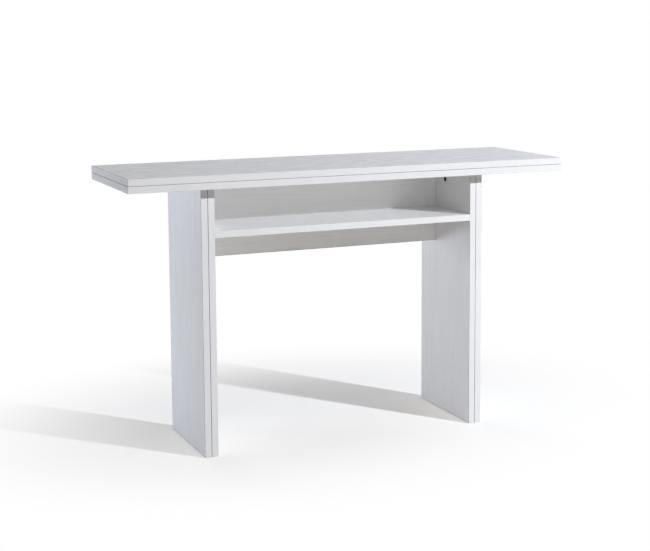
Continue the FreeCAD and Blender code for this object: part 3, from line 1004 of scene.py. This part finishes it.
@dataclass(frozen=True)
class Joints:
    """Cam locks, cam bolts and dowels that join one kind of board to its neighbours."""

    name: str
    lock: CamLock = CamLock()
    bolt: CamBolt = CamBolt()
    dowel: Dowel = Dowel()

    def build(self, finishes: Finishes) -> list[str]:
        """Grow the fasteners of these joints and return the names of the pieces."""
        locks, bolts, dowels = (f"{self.name}_{kind}" for kind in ("cam_locks", "cam_bolts", "dowels"))
        lock_seats = [self.lock_seat(solid, bolts) for solid in solids_of(locks)]
        bolt_seats = [self.bolt_seat(solid, lock_seats) for solid in solids_of(bolts)]
        dowel_seats = [Seat(solid.end(solid.long_axis, -1), along(solid.long_axis, 1))
                       for solid in solids_of(dowels)]
        return [
            fit(self.lock.grow(f"{locks}_cast", lock_seats, finishes.cam_zinc), locks),
            fit(self.bolt.grow(f"{bolts}_threaded", bolt_seats, finishes.bolt_steel), bolts),
            fit(self.dowel.grow(f"{dowels}_fluted", dowel_seats, finishes.beech), dowels),
        ]

    def lock_seat(self, lock: Solid, bolts: str) -> Seat:
        """Find how a cam lies: sunk in its board from the nearer face, and turned to its bolt."""
        board = next(board for board in BOARDS if board.box.holds(lock.centre))
        axis = lock.short_axis
        sense = board.box.centre[axis] - lock.centre[axis]
        bolt = min(solids_of(bolts), key=lambda solid: (solid.centre - lock.centre).length)
        reach = bolt.centre - lock.centre
        return Seat(lock.end(axis, -sense), along(axis, sense), along(bolt.long_axis, reach[bolt.long_axis]))

    def bolt_seat(self, bolt: Solid, locks: list[Seat]) -> Seat:
        """Find how a bolt lies: from the tip of its thread to its head in the nearest cam."""
        nearest = min(locks, key=lambda seat: (seat.place - bolt.centre).length)
        axis = bolt.long_axis
        return Seat(bolt.end(axis, nearest.towards[axis]), -nearest.towards)


@dataclass(frozen=True)
class Shelving:
    """Shelf, the panel behind it, and all the joints of the fixed boards."""

    joints: tuple[Joints, ...] = (Joints("leg"), Joints("shelf"), Joints("back_panel"))

    def build(self, finishes: Finishes) -> list[str]:
        """Dress the boards, grow the joints' fasteners and return the names of the pieces."""
        boards = [name for board in SHELF_BOARDS for name in finishes.dress_board(board)]
        return boards + [name for joints in self.joints for name in joints.build(finishes)]


@dataclass(frozen=True)
class Lamp:
    """Lamp that looks at one point and isn't mirrored in gloss. Metres and watts."""

    name: str
    place: Triple
    target: Triple
    size: float
    power: float
    colour: str

    def build(self) -> None:
        """Hang the lamp."""
        data = bpy.data.lights.new(self.name, "AREA")
        data.shape = "DISK"
        data.size = self.size
        data.energy = self.power
        data.color = linear(self.colour)[:3]
        lamp = bpy.data.objects.new(self.name, data)
        lamp.location = self.place
        lamp.rotation_euler = (Vector(self.place) - Vector(self.target)).to_track_quat("Z", "Y").to_euler()
        lamp.visible_camera = False
        lamp.visible_glossy = False
        bpy.context.scene.collection.objects.link(lamp)


@dataclass(frozen=True)
class Camera:
    """Camera at the front left, a little above the top. Pixels are those of the 650 by 551 image."""

    place: Triple = (-1.515, -3.562, 1.144)
    yaw: float = -22.815
    pitch: float = -7.235
    roll: float = 0.398
    focal_pixels: float = 1406.2
    image_width: float = 650.0
    image_height: float = 551.0
    centre_row: float = 200.0
    sensor_width: float = 36.0
    reach: float = 100.0

    def build(self) -> None:
        """Set the camera up and look through it."""
        data = bpy.data.cameras.new("camera")
        data.sensor_width = self.sensor_width
        data.lens = self.focal_pixels / self.image_width * self.sensor_width
        data.shift_y = (self.centre_row - self.image_height / 2) / self.image_width
        data.clip_end = self.reach
        camera = bpy.data.objects.new("camera", data)
        # A camera without turns looks straight down, a quarter turn from level
        turns = ((self.yaw, "Z"), (90 + self.pitch, "X"), (-self.roll, "Z"))
        rotation = Matrix.Identity(3)
        for angle, axis in turns:
            rotation = rotation @ Matrix.Rotation(math.radians(angle), 3, axis)
        camera.matrix_world = Matrix.Translation(self.place) @ rotation.to_4x4()
        bpy.context.scene.collection.objects.link(camera)
        bpy.context.scene.camera = camera


@dataclass(frozen=True)
class Studio:
    """White floor that keeps the table's shadow, a white surround, lamps and the camera. Metres and watts."""

    floor_radius: float = 12.0
    floor_sides: int = 96
    floor_colour: str = "#F2F3F5"
    floor_bounce: str = "#ABA7A1"
    floor_lift: float = 0.15
    lift_colour: str = "#FFF6E6"
    fade_centre: float = 0.2
    fade_start: float = 0.1
    fade_end: float = 0.9
    fade_oval: float = 1.35
    fill_strength: float = 0.15
    fill_colour: str = "#FFF4E4"
    white: str = "#FFFFFF"
    lamps: tuple[Lamp, ...] = (
        Lamp("key", (3.15, -4.05, 2.36), (2.4, -3.1, 0.0), size=0.2, power=420.0, colour="#F8FBFF"),
        Lamp("front_fill", (-0.8, -4.6, 0.75), (0.0, 0.0, 0.35), size=0.6, power=11.0, colour="#FFFAF2"),
        Lamp("left_fill", (-1.95, 1.0, 0.22), (0.0, 0.0, 0.4), size=0.3, power=15.5, colour="#E4EDFF"),
        Lamp("back_fill", (-0.6, 3.4, 0.85), (0.0, 0.0, 0.4), size=1.6, power=40.0, colour="#FFFFFF"),
        Lamp("overhead", (1.5, 0.5, 2.4), (0.0, 0.0, 0.4), size=1.6, power=10.0, colour="#CFDFFF"),
    )
    camera: Camera = Camera()

    def build(self) -> None:
        """Set up the whole studio."""
        self.lay_floor()
        self.light_surround()
        for lamp in self.lamps:
            lamp.build()
        self.camera.build()
        bpy.context.scene.view_settings.view_transform = "Standard"

    def seen(self, tree: NodeTree) -> NodeSocket:
        """Add the test for rays that show the backdrop itself: straight, mirrored or through glass."""
        rays = add_node(tree, "ShaderNodeLightPath").node.outputs
        either = add_node(tree, "ShaderNodeMath", {
            0: rays["Is Camera Ray"], 1: rays["Is Glossy Ray"]}, operation="MAXIMUM")
        return add_node(tree, "ShaderNodeMath", {
            0: either, 1: rays["Is Transmission Ray"]}, operation="MAXIMUM")

    def lay_floor(self) -> None:
        """Lay a round floor that turns to plain white away from the table."""
        disc = bmesh.new()
        bmesh.ops.create_circle(disc, cap_ends=True, segments=self.floor_sides, radius=self.floor_radius)
        mesh = bpy.data.meshes.new("floor")
        disc.to_mesh(mesh)
        disc.free()
        material = bpy.data.materials.new("painted_studio_floor")
        material.use_nodes = True
        tree = material.node_tree
        tree.nodes.clear()
        seen = self.seen(tree)
        place = add_node(tree, "ShaderNodeTexCoord").node.outputs["Object"]
        oval = add_node(tree, "ShaderNodeVectorMath", {
            0: place, 1: (1 / self.fade_oval, 1.0, 1.0), 2: (0.0, -self.fade_centre, 0.0)},
            operation="MULTIPLY_ADD")
        distance = add_node(tree, "ShaderNodeVectorMath", {0: oval}, operation="LENGTH").node.outputs["Value"]
        fade = add_node(tree, "ShaderNodeMapRange", {
            "Value": distance, "From Min": self.fade_start, "From Max": self.fade_end},
            interpolation_type="SMOOTHSTEP")
        paint = add_node(tree, "ShaderNodeBsdfDiffuse", {"Color": linear(self.floor_colour)})
        lift = add_node(tree, "ShaderNodeEmission", {
            "Color": linear(self.lift_colour), "Strength": self.floor_lift})
        near = add_node(tree, "ShaderNodeAddShader", {0: paint, 1: lift})
        white = add_node(tree, "ShaderNodeEmission", {"Color": linear(self.white)})
        shown = add_node(tree, "ShaderNodeMixShader", {0: fade, 1: near, 2: white})
        bounce = add_node(tree, "ShaderNodeBsdfDiffuse", {"Color": linear(self.floor_bounce)})
        mixed = add_node(tree, "ShaderNodeMixShader", {0: seen, 1: bounce, 2: shown})
        add_node(tree, "ShaderNodeOutputMaterial", {"Surface": mixed})
        mesh.materials.append(material)
        floor = bpy.data.objects.new("floor", mesh)
        bpy.context.scene.collection.objects.link(floor)

    def light_surround(self) -> None:
        """Light the table evenly from all round, with plain white behind it."""
        world = bpy.data.worlds.new("studio")
        bpy.context.scene.world = world
        world.use_nodes = True
        tree = world.node_tree
        tree.nodes.clear()
        fill = add_node(tree, "ShaderNodeBackground", {
            "Color": linear(self.fill_colour), "Strength": self.fill_strength})
        white = add_node(tree, "ShaderNodeBackground", {"Color": linear(self.white)})
        surround = add_node(tree, "ShaderNodeMixShader", {0: self.seen(tree), 1: fill, 2: white})
        add_node(tree, "ShaderNodeOutputWorld", {"Surface": surround})


def main() -> None:
    """Dress and grow the table, sub-assembly by sub-assembly, and set up the studio."""
    logging.basicConfig(level=logging.INFO, format="%(message)s")
    finishes = Finishes()
    for assembly in (FoldingTop(), FoldingLeg(Hand.LEFT), FoldingLeg(Hand.RIGHT), Shelving()):
        for name in assembly.build(finishes):
            log.info("%s: %s", type(assembly).__name__, name)
    Studio().build()


if __name__ == "__main__":
    main()
